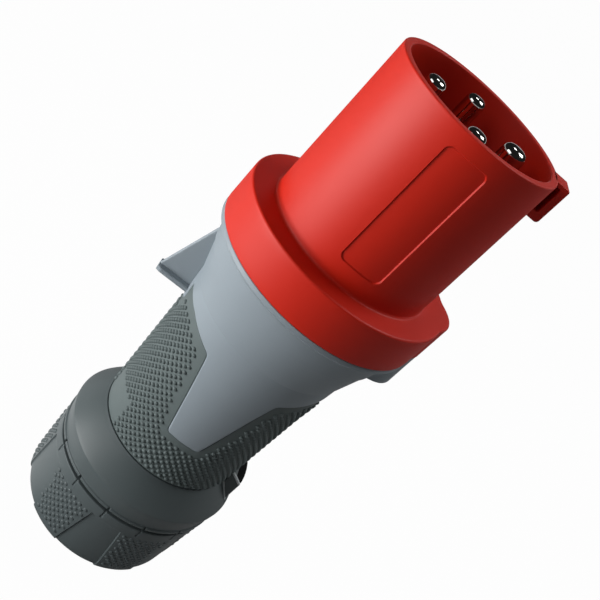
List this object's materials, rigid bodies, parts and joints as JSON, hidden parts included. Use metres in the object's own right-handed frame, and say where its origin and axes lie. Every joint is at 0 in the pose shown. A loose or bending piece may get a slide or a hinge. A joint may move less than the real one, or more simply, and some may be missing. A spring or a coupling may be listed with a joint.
{
  "type": "industrial pin and sleeve plug",
  "caption": "Industrial pin and sleeve plug: keyed red sleeve round plated contact pins, flared grey housing with soft grips, and a locking cable gland with a ribbed nut.",
  "frame": {"origin": "on the plug's axis at the flat rear face of the gland nut, at the mouth of the cable hole", "axes": "+Z along the axis from the cable end to the mouth of the sleeve, +X towards the key and the earth pin, -Y towards the name field"},
  "size_m": [0.0987, 0.092, 0.2475],
  "materials": {
    "red_plastic": "satin, fine moulded grain",
    "grey_plastic": "satin, light blue-grey",
    "dark_plastic": "satin, dark grey-green",
    "soft_grip": "matt soft elastomer with moulded nubs",
    "black_plastic": "satin black",
    "insulator": "matt black",
    "pale_plastic": "satin natural",
    "plated_brass": "polished nickel plate",
    "zinc_steel": "zinc plated",
    "seal_rubber": "matt black"
  },
  "bodies": {
    "plug": {"plug_front": "red_plastic", "contact_carrier": "insulator", "phase_pin_l1": "plated_brass", "phase_pin_l2": "plated_brass", "phase_pin_l3": "plated_brass", "earth_pin": "plated_brass", "pilot_pin": "plated_brass", "terminal_screw_l1": "zinc_steel", "terminal_screw_l2": "zinc_steel", "terminal_screw_l3": "zinc_steel", "terminal_screw_earth": "zinc_steel", "terminal_screw_pilot": "zinc_steel", "carrier_screws": "zinc_steel", "front_seal": "seal_rubber", "housing": "grey_plastic", "grip_sleeve": "soft_grip", "rear_seal": "seal_rubber", "gland_body": "dark_plastic", "sealing_grommet": "seal_rubber", "clamping_cage": "pale_plastic"},
    "clamp": {"thrust_ring": "pale_plastic"},
    "nut": {"gland_nut": "dark_plastic"},
    "latch": {"locking_slide": "black_plastic"}
  },
  "joints": [
    {"name": "clamp_slide", "type": "slide", "parent": "plug", "child": "clamp", "axis": [0, 0, 1], "range_m": [-0.006, 0]},
    {"name": "nut_turn", "type": "hinge", "parent": "clamp", "child": "nut", "pos_m": [0, 0, 0], "axis": [0, 0, 1], "range_deg": [-720, 0]},
    {"name": "latch_slide", "type": "slide", "parent": "plug", "child": "latch", "axis": [0, 0, -1], "range_m": [0, 0.004]}
  ],
  "couplings": [
    {"joint": "clamp_slide", "follows": "nut_turn", "m_per_rad": 0.00047746}
  ]
}
